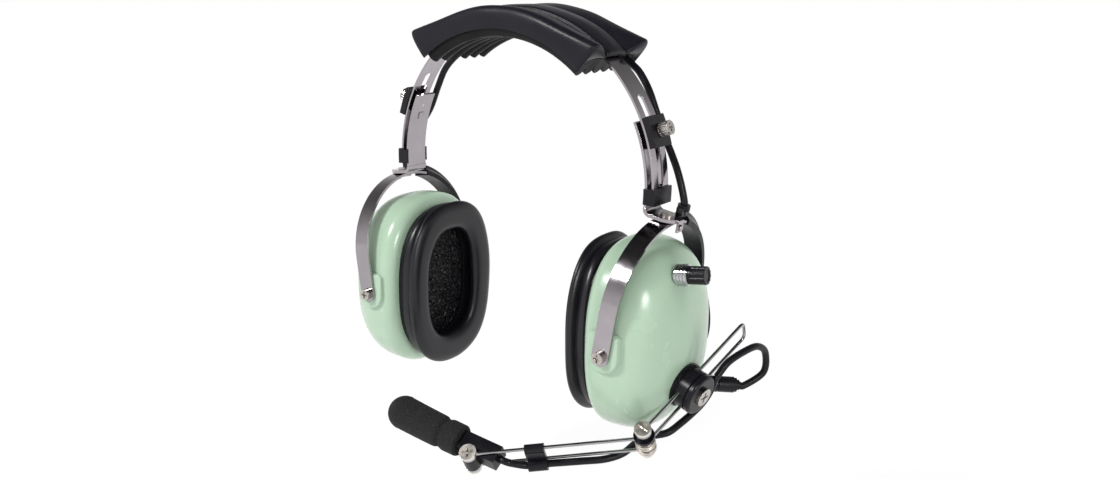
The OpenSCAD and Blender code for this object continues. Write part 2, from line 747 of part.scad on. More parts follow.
module guide_bolt() {
    color(steel) guide_frame() rotate([0, 90, 0]) {
        translate([0, 0, -8]) cylinder(h = cap_top + 8.2, r = bolt_r);
        translate([0, 0, -8.1]) cylinder(h = 1.5, r = 6.2);
        difference() {
            translate([0, 0, cap_top + 0.1]) cylinder(h = 1.6, r = 5);
            translate([0, 0, cap_top + 1.7]) cross_slot(3, 1.1);
        }
    }
}

// ---- boom ----

module rod(x0, x1, z) {
    translate([x0, 0, z]) rotate([0, 90, 0]) cylinder(h = x1 - x0, r = wire_r);
}
module eye(z, bore) {
    translate([0, 0, z - eye_t / 2]) difference() {
        cylinder(h = eye_t, r = eye_r);
        translate([0, 0, -1]) cylinder(h = eye_t + 2, r = bore);
    }
}

module rear_boom() {
    color(steel) boom_frame() {
        for (z = [-rear_up, rear_up]) {
            translate([0, 3 - rear_front, z]) rotate([-90, 0, 0]) cylinder(h = rear_turn + rear_front - 3, r = wire_r);
            translate([0, -rear_front, 0]) eye(z, pin_r);
        }
        translate([0, rear_back, -corner_z]) cylinder(h = 2 * corner_z, r = wire_r);
        for (k = [0, 1]) translate([0, rear_turn, (2 * k - 1) * corner_z]) rotate([0, 90, 0]) rotate([0, 0, 90 * k])
            rotate_extrude(angle = 90) translate([corner_r, 0]) circle(wire_r);
    }
}

module wrist_screw() {
    top = rear_up + wire_r;
    color(steel) boom_frame() translate([0, -rear_front, 0]) {
        translate([0, 0, -14]) cylinder(h = top + 14.1, r = pin_r);
        difference() {
            translate([0, 0, top]) cylinder(h = 1.7, r = 4.3);
            translate([0, 0, top + 1.7]) cross_slot(2.8, 1.1);
        }
        translate([0, 0, -15]) cylinder(h = 2, r = 3.4);
    }
}

module wrist_washer() {
    color(black) boom_frame() translate([0, -rear_front, 0]) difference() {
        union() {
            translate([0, 0, front_up + 1.1]) cylinder(h = 2, r = 5.4);
            translate([0, 0, front_up + 3]) cylinder(h = rear_up - wire_r - front_up - 3, r = 4);
        }
        translate([0, 0, -1]) cylinder(h = 9, r = pin_r);
    }
}

module front_boom() {
    color(steel) wrist_frame() {
        for (z = [front_down, front_up]) {
            rod(3, front_len - 3, z);
            eye(z, pin_r + run_fit);
            translate([front_len, 0, 0]) eye(z, pin_r);
        }
    }
}

module wrist_spring() {
    upper = [-rear_up + wire_r + 0.2, front_up - wire_r];
    lower = [front_down + wire_r, -rear_up - wire_r - 0.2];
    color(steel) wrist_frame() difference() {
        union() for (s = [upper, lower]) {
            translate([0, 0, s[0]]) cylinder(h = s[1] - s[0], r = 4.6);
            translate([0, 0, s[0] + 0.3]) cylinder(h = 0.9, r = 5.2);
            translate([0, 0, s[1] - 1.2]) cylinder(h = 0.9, r = 5.2);
        }
        translate([0, 0, -14]) cylinder(h = 20, r = pin_r + run_fit);
    }
}

module lead_clip() {
    color(black) wrist_frame() difference() {
        union() {
            rod_sleeve(51, 61, 0, front_up, 2.3);
            rod_sleeve(51, 61, 3.1, -11.8, 3.4);
            translate([51, 0.2, -10]) cube([10, 2.4, 9]);
        }
        rod_sleeve(50, 62, 0, front_up, wire_r);
        rod_sleeve(50, 62, 0, front_down, wire_r);
        rod_sleeve(50, 62, 3.1, -11.8, lead_r + 0.05);
    }
}
module rod_sleeve(x0, x1, y, z, r) {
    translate([x0, y, z]) rotate([0, 90, 0]) cylinder(h = x1 - x0, r = r);
}

// ---- microphone ----

module mic_joint_screw() {
    top = front_up + wire_r;
    color(steel) wrist_frame() translate([front_len, 0, 0]) {
        translate([0, 0, -14]) cylinder(h = top + 14.1, r = pin_r);
        difference() {
            translate([0, 0, top]) cylinder(h = 2, r = 4.5);
            translate([0, 0, top + 2]) cross_slot(2.8, 1.2);
        }
        translate([0, 0, front_down - wire_r - 2]) cylinder(h = 2, r = 3.9);
    }
}

module mic_body() {
    low = front_down + wire_r + 0.2;
    high = front_up - wire_r - 0.2;
    color(black) mic_frame() difference() {
        union() {
            translate([-13.3, mic_off - 5, low]) cube([13.3 + box_end, 10, high - low]);
            translate([0, 0, low + 0.1]) cylinder(h = high - low - 0.2, r = eye_r);
            translate([box_end - 0.5, mic_off, mic_e]) rotate([0, 90, 0]) cylinder(h = 31, r = 4.1);
        }
        translate([0, 0, low - 1]) cylinder(h = high - low + 2, r = pin_r + run_fit);
        translate([-14, mic_off, mic_e]) rotate([0, 90, 0]) cylinder(h = 5, r = lead_r + 0.2);
    }
}

module mic_windscreen() {
    straight = foam_len - foam_r;
    color("#313134") mic_frame() translate([box_end, mic_off, mic_e]) rotate([0, 90, 0]) rotate_extrude() difference() {
        union() {
            translate([0, 1.4]) square([foam_r, straight - 1.4]);
            square([foam_r - 1.4, 4]);
            translate([foam_r - 1.4, 1.4]) circle(1.4);
            intersection() {
                translate([0, straight]) circle(foam_r);
                translate([0, straight - 1]) square([foam_r, foam_r + 1]);
            }
        }
        translate([-10, -1]) square([14.1, 32]);
        translate([foam_r - 1, 9]) square([3, 2]);
    }
}

module windscreen_band() {
    color("#4d4d50") mic_frame() translate([box_end, mic_off, mic_e]) rotate([0, 90, 0])
        rotate_extrude() translate([foam_r - 1, 9.1]) square([0.7, 1.8]);
}

module mic_jack() {
    color(black) along(jack_at, jack_dir) {
        translate([0, 0, -6]) cylinder(h = 18.4, r = 4.4);
    }
}

module mic_plug() {
    color("#26262a") along(jack_at, jack_dir) {
        translate([0, 0, 12.4]) cylinder(h = 0.8, r = 3.8);
        translate([0, 0, 13.1]) cylinder(h = 8.4, r = 4.3);
        translate([0, 0, 21.4]) cylinder(h = 1.6, r = 3.8);
        translate([0, 0, 22.9]) cylinder(h = plug_end - 22.9, r = 2.8);
    }
}

// ---- leads ----

module side_lead_right() {
    lead(side_route, [0, 1, 0]);
}
module side_lead_left() {
    mirror([1, 0, 0]) lead(side_route, [0, 1, 0]);
}
module arm_lead_right() {
    lead(arm_route, [1, 0, 0]);
}
module arm_lead_left() {
    mirror([1, 0, 0]) lead(arm_route, [1, 0, 0]);
}
module cup_lead_right() {
    lead(cup_route, [1, 0, 0]);
}
module cup_lead_left() {
    mirror([1, 0, 0]) lead(cup_route, [1, 0, 0]);
}
module mic_lead_loop() {
    lead(loop_route, outward);
}
module mic_lead_boom() {
    lead(boom_route, outward);
}
module mic_lead_wrist() {
    lead(wrist_route, upward);
}
module mic_lead_front() {
    lead(front_route, upward);
}

// ---- drawing ----

headband_spring();
head_pad();
head_pad_cover();
end_guide_left();
end_guide_right();
crossover_lead();
slide_strip_left();
slide_strip_right();
slide_block_left();
slide_block_right();
thumbscrew_left();
thumbscrew_right();
crown_rivet_left();
crown_rivet_right();
side_lead_left();
side_lead_right();
lead_tie_left();
lead_tie_right();
yoke_left();
yoke_right();
pivot_screws_left();
pivot_screws_right();
arm_lead_left();
arm_lead_right();
arm_sleeve_left();
arm_sleeve_right();
dome_left();
dome_right();
baffle_plate_left();
baffle_plate_right();
ear_seal_left();
ear_seal_right();
foam_filter_left();
foam_filter_right();
earphone_left();
earphone_right();
cup_lead_left();
cup_lead_right();
volume_control();
volume_knob();
guide_base();
boom_guide();
guide_bolt();
rear_boom();
wrist_screw();
wrist_washer();
front_boom();
wrist_spring();
lead_clip();
mic_joint_screw();
mic_body();
mic_windscreen();
windscreen_band();
mic_jack();
mic_plug();
mic_lead_loop();
mic_lead_boom();
mic_lead_wrist();
mic_lead_front();
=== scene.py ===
"""Looks of an aviation headset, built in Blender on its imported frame.

The camera and the studio are laid out in metres, and the pieces in millimetres.
"""
import json

import bmesh
import bpy
import numpy as np
from mathutils import Matrix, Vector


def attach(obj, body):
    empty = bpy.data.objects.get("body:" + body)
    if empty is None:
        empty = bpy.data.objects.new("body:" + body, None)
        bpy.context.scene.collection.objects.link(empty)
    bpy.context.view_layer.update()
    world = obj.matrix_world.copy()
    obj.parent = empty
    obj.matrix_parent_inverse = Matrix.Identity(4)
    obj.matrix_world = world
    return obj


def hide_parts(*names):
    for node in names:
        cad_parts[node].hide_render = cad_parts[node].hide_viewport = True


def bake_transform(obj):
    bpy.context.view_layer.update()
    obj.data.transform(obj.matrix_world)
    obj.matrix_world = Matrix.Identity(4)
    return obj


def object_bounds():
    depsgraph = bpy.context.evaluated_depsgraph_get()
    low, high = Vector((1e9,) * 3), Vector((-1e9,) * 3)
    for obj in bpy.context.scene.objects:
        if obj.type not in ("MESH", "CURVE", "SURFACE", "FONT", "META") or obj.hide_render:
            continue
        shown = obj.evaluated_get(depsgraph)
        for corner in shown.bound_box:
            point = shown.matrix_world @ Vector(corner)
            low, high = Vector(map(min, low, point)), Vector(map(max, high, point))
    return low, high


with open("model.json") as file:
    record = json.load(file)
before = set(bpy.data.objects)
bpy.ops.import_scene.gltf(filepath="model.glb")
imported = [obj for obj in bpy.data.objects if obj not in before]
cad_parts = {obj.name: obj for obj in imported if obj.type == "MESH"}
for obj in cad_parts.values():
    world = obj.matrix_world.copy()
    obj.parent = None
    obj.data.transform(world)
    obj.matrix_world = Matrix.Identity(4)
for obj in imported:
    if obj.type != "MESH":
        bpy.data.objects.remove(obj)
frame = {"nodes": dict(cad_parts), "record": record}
cad_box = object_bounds()
scene = bpy.context.scene
mm = 0.001

# Camera: it stands a little above the ear cups, at the wearer's front left, tipped by about a degree.
# Its place follows from a direction, a distance and the point that it looks at.
azimuth, elevation, roll = np.radians([35.0, 15.1, 1.3])
look_at = np.array([24.2, 0.0, 41.6]) * mm
camera_distance = 577.9 * mm
sensor_width = 36.0
focal_length = 34.12
near_limit = 10 * mm

level_right = np.array([np.cos(azimuth), np.sin(azimuth), 0.0])
toward_camera = np.array([
    np.sin(azimuth) * np.cos(elevation),
    -np.cos(azimuth) * np.cos(elevation),
    np.sin(elevation),
])
level_up = np.cross(toward_camera, level_right)
camera_matrix = np.eye(4)
camera_matrix[:3, 0] = np.cos(roll) * level_right + np.sin(roll) * level_up
camera_matrix[:3, 1] = np.cos(roll) * level_up - np.sin(roll) * level_right
camera_matrix[:3, 2] = toward_camera
camera_matrix[:3, 3] = look_at + camera_distance * toward_camera

lens = bpy.data.cameras.new("camera")
lens.sensor_width = sensor_width
lens.lens = focal_length
lens.clip_start = near_limit
camera = bpy.data.objects.new("camera", lens)
camera.matrix_world = Matrix(camera_matrix.tolist())
scene.collection.objects.link(camera)
scene.camera = camera


# Studio: a pale paper floor well below the headset, a white surround and three soft lamps.
# The floor keeps a faint shadow near the middle and fades to plain white around it, also in mirrors.
# The surround is white to the camera; in mirrors it darkens upward, so that gloss and metal have contrast.
floor_drop = 70 * mm
floor_size = 60.0
fade_from, fade_to = 0.2, 0.8
paper_grey = (0.92, 0.92, 0.92, 1.0)
pure_white = (1.0, 1.0, 1.0, 1.0)
lamp_aim = (0.02, 0.0, 0.04)
scene.view_settings.view_transform = "Standard"


def node(tree, kind, values=None, **settings):
    """A shader node of that kind; each named socket gets a plain value or a link from an output."""
    made = tree.nodes.new("ShaderNode" + kind)
    for key, value in settings.items():
        setattr(made, key, value)
    for key, value in (values or {}).items():
        if isinstance(value, bpy.types.NodeSocket):
            tree.links.new(value, made.inputs[key])
        else:
            made.inputs[key].default_value = value
    return made


def seen_directly(tree):
    """One for rays from the camera, from a mirror or through glass, otherwise nought."""
    path = node(tree, "LightPath")
    glossy = node(tree, "Math", {0: path.outputs["Is Camera Ray"], 1: path.outputs["Is Glossy Ray"]},
                  operation="MAXIMUM")
    return node(tree, "Math", {0: glossy.outputs[0], 1: path.outputs["Is Transmission Ray"]},
                operation="MAXIMUM").outputs[0]


def soft_lamp(name, place, aim, size, power, shape="RECTANGLE"):
    """An area lamp at a place, turned so that its face looks at its aim."""
    data = bpy.data.lights.new(name, "AREA")
    data.shape = shape
    data.size, data.size_y = size
    data.energy = power
    back = np.subtract(place, aim)
    back = back / np.linalg.norm(back)
    side = np.cross([0.0, 0.0, 1.0], back)
    side = side / np.linalg.norm(side)
    turned = np.eye(4)
    turned[:3, 0], turned[:3, 1], turned[:3, 2], turned[:3, 3] = side, np.cross(back, side), back, place
    lamp = bpy.data.objects.new(name, data)
    lamp.matrix_world = Matrix(turned.tolist())
    scene.collection.objects.link(lamp)
    return lamp


floor_mesh = bpy.data.meshes.new("floor")
edge = floor_size / 2
floor_z = cad_box[0][2] - floor_drop
corners = [(-edge, -edge, floor_z), (edge, -edge, floor_z), (edge, edge, floor_z), (-edge, edge, floor_z)]
floor_mesh.from_pydata(corners, [], [(0, 1, 2, 3)])
floor = bpy.data.objects.new("floor", floor_mesh)
scene.collection.objects.link(floor)
paper = bpy.data.materials.new("floor_paper")
paper.use_nodes = True
tree = paper.node_tree
tree.nodes.clear()
diffuse = node(tree, "BsdfDiffuse", {"Color": paper_grey})
glow = node(tree, "Emission", {"Color": pure_white, "Strength": 1.0})
place = node(tree, "NewGeometry").outputs["Position"]
level = node(tree, "VectorMath", {0: place, 1: (1.0, 1.0, 0.0)}, operation="MULTIPLY")
reach = node(tree, "VectorMath", {0: level.outputs[0]}, operation="LENGTH")
fade = node(tree, "MapRange", {"Value": reach.outputs["Value"], "From Min": fade_from, "From Max": fade_to,
                               "To Min": 0.86, "To Max": 1.0}, interpolation_type="SMOOTHSTEP")
share = node(tree, "Math", {0: seen_directly(tree), 1: fade.outputs[0]}, operation="MULTIPLY")
mixed = node(tree, "MixShader", {0: share.outputs[0], 1: diffuse.outputs[0], 2: glow.outputs[0]})
node(tree, "OutputMaterial", {"Surface": mixed.outputs[0]})
floor_mesh.materials.append(paper)

world = bpy.data.worlds.new("surround")
scene.world = world
world.use_nodes = True
tree = world.node_tree
tree.nodes.clear()
path = node(tree, "LightPath")
height = node(tree, "SeparateXYZ", {0: node(tree, "TexCoord").outputs["Generated"]})
darkening = node(tree, "MapRange", {"Value": height.outputs["Z"], "From Min": 0.05, "From Max": 0.75,
                                    "To Min": 0.8, "To Max": 0.03}, interpolation_type="SMOOTHSTEP")
lighting = node(tree, "Background", {"Color": pure_white, "Strength": 0.42})
mirrored_sky = node(tree, "Background", {"Color": pure_white, "Strength": darkening.outputs[0]})
backdrop = node(tree, "Background", {"Color": pure_white, "Strength": 1.0})
unseen = node(tree, "MixShader", {0: path.outputs["Is Glossy Ray"], 1: lighting.outputs[0],
                                  2: mirrored_sky.outputs[0]})
whole = node(tree, "MixShader", {0: path.outputs["Is Camera Ray"], 1: unseen.outputs[0],
                                 2: backdrop.outputs[0]})
node(tree, "OutputWorld", {"Surface": whole.outputs[0]})

soft_lamp("key_lamp", (-0.55, -1.15, 1.05), lamp_aim, size=(0.30, 0.30), power=19.0, shape="ELLIPSE")
soft_lamp("fill_lamp", (1.30, -0.75, 0.55), lamp_aim, size=(0.42, 0.42), power=7.5, shape="ELLIPSE")
top_lamp = soft_lamp("top_lamp", (0.05, 0.35, 1.35), lamp_aim, size=(0.9, 0.6), power=11.0)
top_lamp.visible_glossy = False


# Leads: two-core leads 3.8 mm thick in a smooth black rubber jacket, clipped to the metalwork.
# They run from the head pad down each side into the cups, and from the plug along the boom.
# Their points are laid in the frames of the joints that they pass.
lead_radius = 1.9
band_centre_z = 76.0
pivot_x = 80.0
rods_above_joint, front_eyes_above_joint = 4.5, 6.0
microphone_angle = np.radians(31.0)
joints = {joint["name"]: joint for joint in frame["record"]["behaviour"]["joints"]}


def joint_axis(name):
    """The unit axis of a joint at rest."""
    return np.array(joints[name]["axis"])


def joint_place(name):
    """The point of a joint at rest, in millimetres."""
    return np.array(joints[name]["pos_m"]) / mm


boom_out = joint_axis("boom_turn")
boom_rear = -joint_axis("boom_slide")
boom_up = joint_axis("wrist_turn")
rods_at = joint_place("boom_turn") + rods_above_joint * boom_out
wrist_at = joint_place("wrist_turn")
arm_forward = joint_place("mic_turn") + front_eyes_above_joint * boom_up - wrist_at
front_length = np.linalg.norm(arm_forward)
arm_forward = arm_forward / front_length
arm_side = np.cross(boom_up, arm_forward)
mic_forward = np.cos(microphone_angle) * arm_forward - np.sin(microphone_angle) * arm_side
mic_side = np.cross(boom_up, mic_forward)
yoke_up = joint_axis("yoke_swivel_right")
yoke_out = np.array([yoke_up[2], 0.0, -yoke_up[0]])


def on_band(angle, radius, y):
    """A point at an angle above the centre of the band's arc, at a radius from it."""
    turn = np.radians(angle)
    return np.array([radius * np.cos(turn), y, band_centre_z + radius * np.sin(turn)])


def on_yoke(x, y, z):
    """A point in the leaning frame of the yoke, whose origin is on the pivot line."""
    return np.array([pivot_x, 0.0, 0.0]) + x * yoke_out + np.array([0.0, y, 0.0]) + z * yoke_up


def on_boom(x, y, z):
    """A point in the frame of the rear rods: outward, rearward and up across them."""
    return rods_at + x * boom_out + y * boom_rear + z * boom_up


def on_arm(x, y, z):
    """A point in the frame of the front rods: forward, sideways and up along the wrist screw."""
    return wrist_at + x * arm_forward + y * arm_side + z * boom_up


def on_mic(x, y, z):
    """A point in the frame of the microphone: forward to its tip, sideways and up."""
    return on_arm(front_length, 0, 0) + x * mic_forward + y * mic_side + z * boom_up


def smooth_route(points, steps=10):
    """A Catmull-Rom curve: it passes through each point with the slope of its neighbours' chord."""
    points = np.asarray(points, float)
    longer = np.vstack([2 * points[0] - points[1], points, 2 * points[-1] - points[-2]])
    before, start, end, after = (longer[k:len(longer) - 3 + k, None, :] for k in range(4))
    slope = end - before
    bend = 2 * before - 5 * start + 4 * end - after
    twist = 3 * (start - end) + after - before
    way = np.linspace(0, 1, steps, endpoint=False)[None, :, None]
    curve = start + 0.5 * way * (slope + way * (bend + way * twist))
    return np.vstack([curve.reshape(-1, points.shape[1]), points[-1:]])


def grid_object(name, grid, loop=False, sharp=40.0):
    """A mesh of quads over a grid of points in millimetres, with its faces turned outward.

    Each row closes into a ring. In a loop the last row meets the first; otherwise both ends are capped.
    """
    rows, columns = grid.shape[:2]
    index = np.arange(rows * columns).reshape(rows, columns)
    below = index if loop else index[:-1]
    above = np.roll(index, -1, axis=0) if loop else index[1:]
    quads = np.stack([below, np.roll(below, -1, 1), np.roll(above, -1, 1), above], -1)
    faces = quads.reshape(-1, 4).tolist()
    if not loop:
        faces += [index[0].tolist(), index[-1].tolist()]
    mesh = bpy.data.meshes.new(name)
    mesh.from_pydata((grid.reshape(-1, 3) * mm).tolist(), [], faces)
    shape = bmesh.new()
    shape.from_mesh(mesh)
    bmesh.ops.recalc_face_normals(shape, faces=shape.faces)
    shape.to_mesh(mesh)
    shape.free()
    mesh.shade_smooth()
    mesh.set_sharp_from_angle(angle=np.radians(sharp))
    piece = bpy.data.objects.new(name, mesh)
    scene.collection.objects.link(piece)
    return piece


def tube_grid(route, radius, reference, sides=24):
    """Circles round each point of a line, in the plane across it, all turned alike to a reference."""
    along = np.gradient(route, axis=0)
    along /= np.linalg.norm(along, axis=1, keepdims=True)
    side = np.cross(along, reference)
    side /= np.linalg.norm(side, axis=1, keepdims=True)
    other = np.cross(side, along)
    turn = np.linspace(0, 2 * np.pi, sides, endpoint=False)[None, :, None]
    reach = np.broadcast_to(np.asarray(radius, float), (len(route),))[:, None, None]
    return route[:, None] + reach * (np.cos(turn) * side[:, None] + np.sin(turn) * other[:, None])


def mirrored(points, side):
    """The same points on the other side of the head, when the side is the left one."""
    return np.asarray(points, float) * [1.0 if side == "right" else -1.0, 1.0, 1.0]


def effect(name, inputs, outputs):
    """A shader node group that reads a place and the named values, with its two end nodes."""
    tree = bpy.data.node_groups.new(name, "ShaderNodeTree")
    tree.interface.new_socket("Place", in_out="INPUT", socket_type="NodeSocketVector")
    for key, value in inputs.items():
        made = tree.interface.new_socket(key, in_out="INPUT", socket_type="NodeSocketFloat")
        made.default_value = value
    for key in outputs:
        tree.interface.new_socket(key, in_out="OUTPUT", socket_type="NodeSocketFloat")
    return tree, tree.nodes.new("NodeGroupInput").outputs, tree.nodes.new("NodeGroupOutput").inputs


# handling marks: broad soft patches broken by a finer pattern
handled, given, result = effect("handling", {"Scale": 60.0}, ["Mask"])
broad = node(handled, "TexNoise", {"Vector": given["Place"], "Scale": given["Scale"], "Detail": 5.0,
                                   "Roughness": 0.62})
spread = node(handled, "MapRange", {"Value": broad.outputs[0], "From Min": 0.36, "From Max": 0.66})
handled.links.new(spread.outputs[0], result["Mask"])

# moulded grain: a very fine even roughness
moulded, given, result = effect("moulded_grain", {"Scale": 2500.0}, ["Height"])
specks = node(moulded, "TexNoise", {"Vector": given["Place"], "Scale": given["Scale"], "Detail": 3.0,
                                    "Roughness": 0.6})
moulded.links.new(specks.outputs[0], result["Height"])


def finish_of(name, colour, roughness, metallic=0.0, grain=moulded, grain_scale=2500.0, depth=0.01,
              patch_scale=70.0, patchy=0.1, tint=0.12, edge=0.0, shine=0.5):
    """A material whose colour and roughness shift in handled patches, over a fine relief.

    The relief's depth and the radius that softens sharp edges are in millimetres.
    """
    material = bpy.data.materials.new(name)
    material.use_nodes = True
    tree = material.node_tree
    shader = tree.nodes["Principled BSDF"]
    shader.inputs["Metallic"].default_value = metallic
    shader.inputs["Specular IOR Level"].default_value = shine
    place = node(tree, "TexCoord").outputs["Object"]
    marks = node(tree, "Group", node_tree=handled)
    marks.inputs["Scale"].default_value = patch_scale
    tree.links.new(place, marks.inputs["Place"])
    ramp = node(tree, "ValToRGB", {"Fac": marks.outputs["Mask"]})
    ramp.color_ramp.elements[0].color = (*(np.array(colour) * (1 - tint)), 1.0)
    ramp.color_ramp.elements[1].color = (*np.minimum(np.array(colour) * (1 + tint), 1.0), 1.0)
    tree.links.new(ramp.outputs["Color"], shader.inputs["Base Color"])
    rough = node(tree, "MapRange", {"Value": marks.outputs["Mask"], "To Min": roughness - patchy,
                                    "To Max": roughness + patchy})
    tree.links.new(rough.outputs[0], shader.inputs["Roughness"])
    relief = node(tree, "Group", node_tree=grain)
    relief.inputs["Scale"].default_value = grain_scale
    tree.links.new(place, relief.inputs["Place"])
    bump = node(tree, "Bump", {"Height": relief.outputs["Height"], "Distance": depth * mm, "Strength": 1.0})
    if edge:
        rounding = node(tree, "Bevel", {"Radius": edge * mm}, samples=4)
        tree.links.new(rounding.outputs[0], bump.inputs["Normal"])
    tree.links.new(bump.outputs[0], shader.inputs["Normal"])
    return material


rubber_black = (0.0065, 0.006, 0.0085)
jacket = finish_of("lead_jacket", rubber_black, 0.36, depth=0.02, grain_scale=1800.0, shine=0.22)


def lead(name, points, reference, bodies, replaced):
    """A round lead on a smooth route, in place of a CAD node; it is attached to its body when it has one,
    and left where it lies when it has two.
    """
    points = np.asarray(points, float)
    piece = grid_object(name, tube_grid(smooth_route(points), lead_radius, reference))
    piece.data.materials.append(jacket)
    if len(bodies) == 1:
        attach(piece, bodies[0])
    else:
        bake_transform(piece)
    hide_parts(replaced)
    return piece


# across the head, in the groove of the pad
cross_radius, cross_y = 82.2, 17.0
crown_points = [on_band(angle, cross_radius, cross_y) for angle in range(52, 129, 4)]
lead("lead_across", crown_points, [0.0, 1.0, 0.0], ["head_band"], "crossover_lead")

# down each side: from the pad to the tie on the slide's foot, into the sleeve on the yoke's rear arm,
# and from the sleeve's lower end into the shell
foot_top = 66.4
sleeve_radius, sleeve_centre_z = 46.1, 20.9
sleeve_top, sleeve_low = np.radians([16.8, 84.2])
entry_at = np.array([88.6, 36.8, -22.0])
entry_way = np.array([-3.2, -3.5, -5.0])
entry_way = entry_way / np.linalg.norm(entry_way)
side_points = [on_band(51.4, cross_radius, cross_y), on_band(47.6, 83.2, 16), on_band(43, 84.6, 14.4),
               on_band(36, 84.8, 12.5), on_band(27.6, 83.6, 12), on_band(19, 83.8, 12),
               on_band(13, 86.2, 11.3), on_band(7.5, 89.6, 9.6), on_band(2, 92.6, 8.6),
               on_band(-2.2, 94.6, 8.4), on_yoke(3.6, 8.6, foot_top + 5), on_yoke(3.6, 8.6, foot_top + 2.2)]
arm_points = [on_yoke(3.6, 8.6, foot_top + 1.9), on_yoke(3.6, 8.7, foot_top + 1.3),
              on_yoke(3.3, 9.8, foot_top + 0.1), on_yoke(2, 11.8, foot_top - 0.9),
              on_yoke(0.2, sleeve_radius * np.sin(sleeve_top),
                      sleeve_centre_z + sleeve_radius * np.cos(sleeve_top))]
cup_points = [on_yoke(0.1, sleeve_radius * np.sin(sleeve_low),
                      sleeve_centre_z + sleeve_radius * np.cos(sleeve_low)),
              [84.4, 46.4, 22.4], [88.2, 46.6, 16.2], [91.2, 45.6, 8], [93.2, 44.6, -1], [93.4, 43.2, -9.5],
              [91.6, 40.1, -17.3], entry_at, entry_at + 5 * entry_way]
for side in ("right", "left"):
    slider, arm, cup = "slider_" + side, "yoke_arm_" + side, "cup_" + side
    lead("side_lead_piece_" + side, mirrored(side_points, side), [0.0, 1.0, 0.0], ["head_band", slider],
         "side_lead_" + side)
    lead("arm_lead_piece_" + side, mirrored(arm_points, side), [1.0, 0.0, 0.0], [slider, arm],
         "arm_lead_" + side)
    lead("cup_lead_piece_" + side, mirrored(cup_points, side), [1.0, 0.0, 0.0], [arm, cup],
         "cup_lead_" + side)

# the microphone's lead, in four lengths, each running between two bodies
plug_end = 24.5
jack_at = np.array([99.0, 22.0, -29.8])
jack_way = np.array([0.8, 0.6, -0.05])
jack_way = jack_way / np.linalg.norm(jack_way)
loop_points = [jack_at + (plug_end + 0.05) * jack_way, jack_at + (plug_end + 3) * jack_way,
               on_boom(12, 44.6, -29), on_boom(9.5, 50, -19), on_boom(8, 46, -9.5),
               on_boom(7, 37.5, -4), on_boom(5.4, 25, -1), on_boom(5, 15.3, -3.4)]
boom_points = [on_boom(5, 14.75, -3.6), on_boom(5, 13.7, -4.1), on_boom(5, 11.4, -7.4),
               on_boom(4.8, 7.3, -11.5), on_boom(4.6, 1.5, -13.6), on_boom(4.2, -6, -13.6),
               on_boom(3.5, -14, -12.9), on_boom(2.4, -22, -11.8), on_boom(-2, -27.6, -11.9),
               on_boom(-6, -31.5, -12.9)]
wrist_points = [on_arm(1.36, -7.4, -12.93), on_arm(2.6, -7.3, -13.2), on_arm(6.6, -5, -14.7),
                on_arm(13, -0.8, -15.6), on_arm(22, 2.4, -13.8), on_arm(34, 3.2, -12.2),
                on_arm(49.6, 3.1, -11.8), on_arm(55.8, 3.1, -11.8)]
front_points = [on_arm(56.1, 3.1, -11.8), on_arm(62, 3.1, -11.8), on_arm(67, 3.2, -9.2),
                on_mic(-17.5, -6.8, -6), on_mic(-11, -6.8, -6)]
lead("mic_lead_loop_piece", loop_points, boom_out, ["cup_right", "guide"], "mic_lead_loop")
lead("mic_lead_boom_piece", boom_points, boom_out, ["guide", "boom"], "mic_lead_boom")
lead("mic_lead_wrist_piece", wrist_points, boom_up, ["boom", "front_arm"], "mic_lead_wrist")
lead("mic_lead_front_piece", front_points, boom_up, ["front_arm", "microphone"], "mic_lead_front")


# Ear cup shells: deep oval bowls moulded in pale green plastic with a glossy paint-like skin.
# A raised pad with a round lower end carries each pivot screw, and the rim meets the black plate.
belly_x, rim_x = 73.3, 65.5
cup_z = 2.0
dome_half = np.array([40.0, 51.0])
dome_depth = 36.2
dome_wall = 2.2
rim_inset = 6.8
pad_face_y, pad_foot_y = 41.9, 34.0
pad_half_width, pad_top, pad_corner = 9.0, 12.0, 3.0


def oval_rows(rows, count=192, power=2.5):
    """One superellipse ring for each row of x, half width and half height.

    Each coordinate is its half size times the 2/power root of the cosine or sine.
    """
    turn = np.linspace(0, 2 * np.pi, count, endpoint=False)
    across, up = (np.sign(wave) * np.abs(wave) ** (2 / power) for wave in (np.cos(turn), np.sin(turn)))
    x, half_y, half_z = np.array(rows).T[:, :, None]
    return np.stack(np.broadcast_arrays(x, half_y * across, cup_z + half_z * up), -1)


def bowl_rows(half, depth, count=56):
    """Rows of a bowl from its pole to its widest section; at depth u it shrinks by root(1 - u cubed)."""
    pole_opening = 0.012
    turn = np.linspace(0, 1, count) ** 1.2 * (np.pi / 2 - pole_opening)
    deep, shrink = np.sin(turn) ** (2 / 3), np.cos(turn)
    return np.column_stack([belly_x + depth * deep, half[0] * shrink, half[1] * shrink])[::-1]


def neck_rows(half, neck, count=22):
    """Rows from the widest section to the rim: a quarter of an ellipse draws the wall in."""
    turn = np.linspace(0, np.pi / 2, count)[1:]
    inset = rim_inset * (1 - np.cos(turn))
    return np.column_stack([belly_x - neck * np.sin(turn), half[0] - inset, half[1] - inset])


def pad_outline(count=16):
    """A half circle below, straight sides, and a top with two quarter circles, round the pivot."""
    below = np.linspace(np.pi, 2 * np.pi, 2 * count)
    first = np.linspace(0, np.pi / 2, count)
    second = first + np.pi / 2
    beside, under_top = pad_half_width - pad_corner, pad_top - pad_corner
    return np.vstack([
        np.column_stack([pad_half_width * np.cos(below), pad_half_width * np.sin(below)]),
        np.column_stack([beside + pad_corner * np.cos(first), under_top + pad_corner * np.sin(first)]),
        np.column_stack([-beside + pad_corner * np.cos(second), under_top + pad_corner * np.sin(second)]),
    ])


